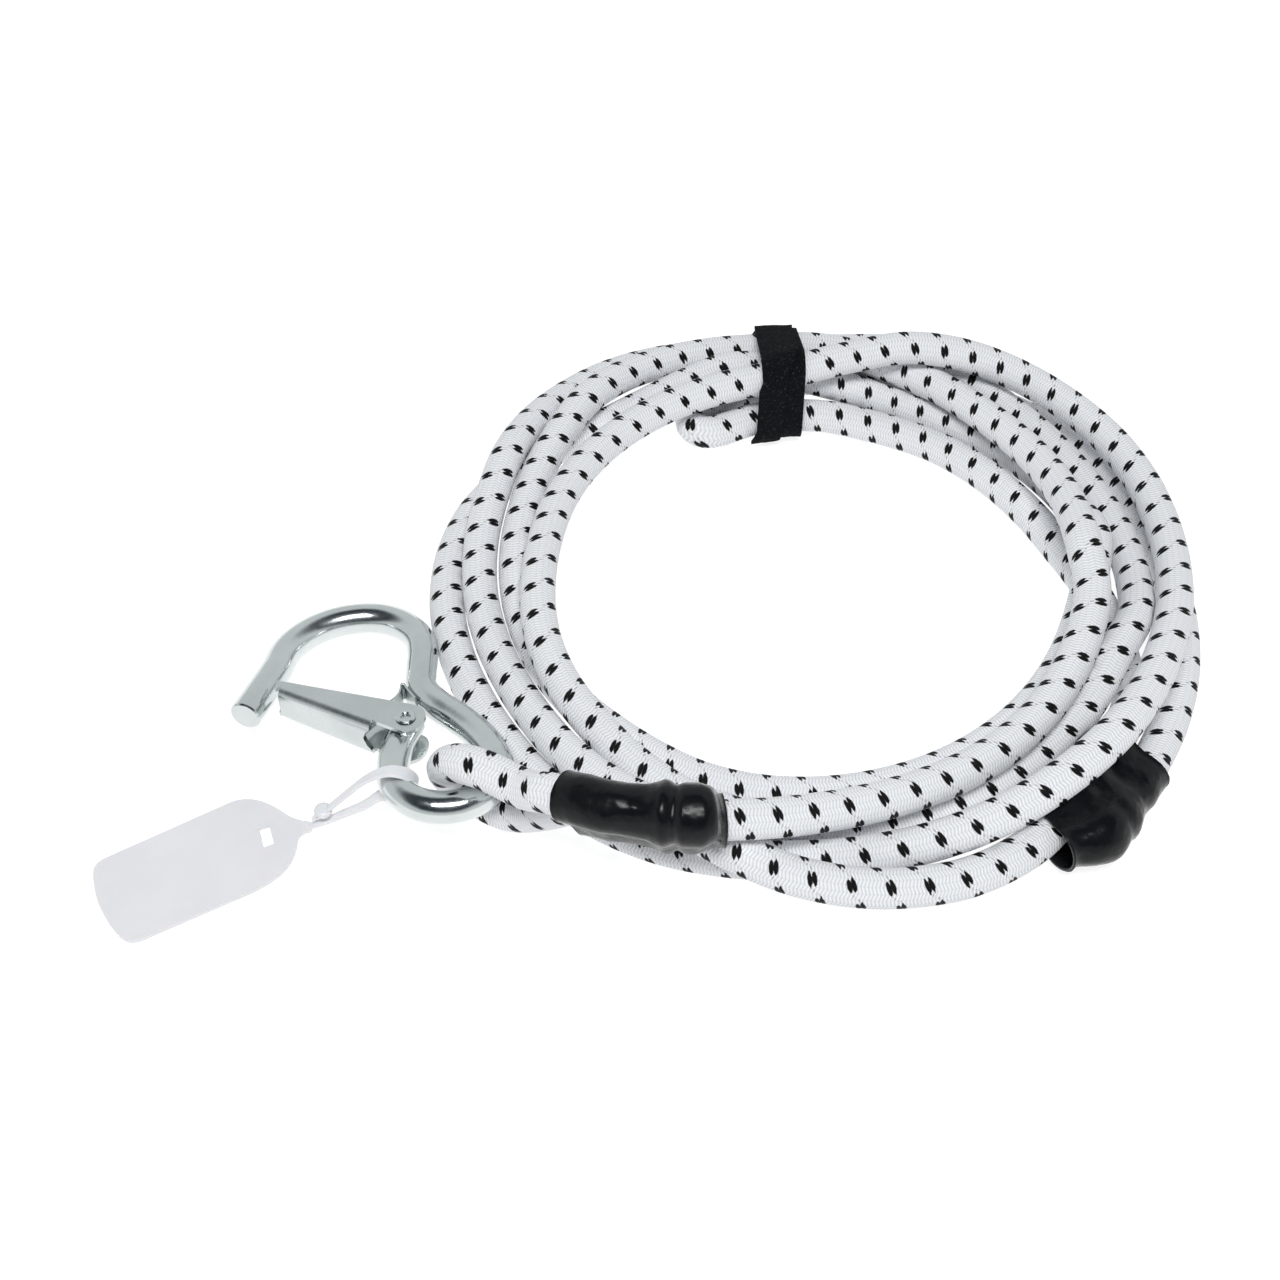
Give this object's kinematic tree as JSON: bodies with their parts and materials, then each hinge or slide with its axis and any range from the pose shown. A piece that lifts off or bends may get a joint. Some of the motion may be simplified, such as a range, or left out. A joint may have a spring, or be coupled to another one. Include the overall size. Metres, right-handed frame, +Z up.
{
  "type": "bungee dock line",
  "caption": "Wound elastic cord line with a gated wire hook in a cord loop at one end and an open cord eye at the other, both held by black sleeves, tied with a hook-and-loop strap.",
  "frame": {"origin": "middle of the footprint of the hook, tag, sleeves and tie, on the surface that the wound line lies on", "axes": "+X from the hook end to the sleeve of the open eye, +Y away from the viewer, +Z up off the surface"},
  "size_m": [0.3545, 0.2616, 0.0525],
  "materials": {
    "braid": "white braided polyester with black tracer marks",
    "rubber": "natural rubber strands, inside the braid",
    "shrink": "black shrink tube, satin gloss",
    "hook_loop": "black napped hook-and-loop tape",
    "zinc": "bright zinc plate, pale blue",
    "steel": "plain steel",
    "label": "pale grey-white moulded tag, bare"
  },
  "bodies": {
    "line": {"cord_coil": "braid", "cord_bight": "braid", "cord_eye": "braid", "core_coil": "rubber", "core_bight": "rubber", "core_eye": "rubber", "hook_sleeve": "shrink", "far_sleeve": "shrink", "hook_clamp_1": "steel", "hook_clamp_2": "steel", "far_clamp_1": "steel", "far_clamp_2": "steel", "tie": "hook_loop"},
    "hook": {"hook_body": "zinc", "gate_rivet": "zinc"},
    "gate": {"gate": "zinc", "gate_spring": "steel"},
    "tag": {"marker_tag": "label"}
  },
  "joints": [
    {"name": "hook_swing", "type": "hinge", "parent": "line", "child": "hook", "pos_m": [-0.04032, -0.08162, 0.0206], "axis": [0.5714, 0.816, 0.0872], "range_deg": [0, 90]},
    {"name": "gate_pivot", "type": "hinge", "parent": "hook", "child": "gate", "pos_m": [-0.07082, -0.06526, 0.01518], "axis": [0, -0.1736, -0.9848], "range_deg": [0, 30], "stiffness_Nm_per_rad": 0.05, "springref_deg": -28.65, "deforming": ["gate_spring"]},
    {"name": "tag_swing", "type": "hinge", "parent": "hook", "child": "tag", "pos_m": [-0.07322, -0.08171, 0.01747], "axis": [0, 0.9848, -0.1736], "range_deg": [0, 80]}
  ]
}
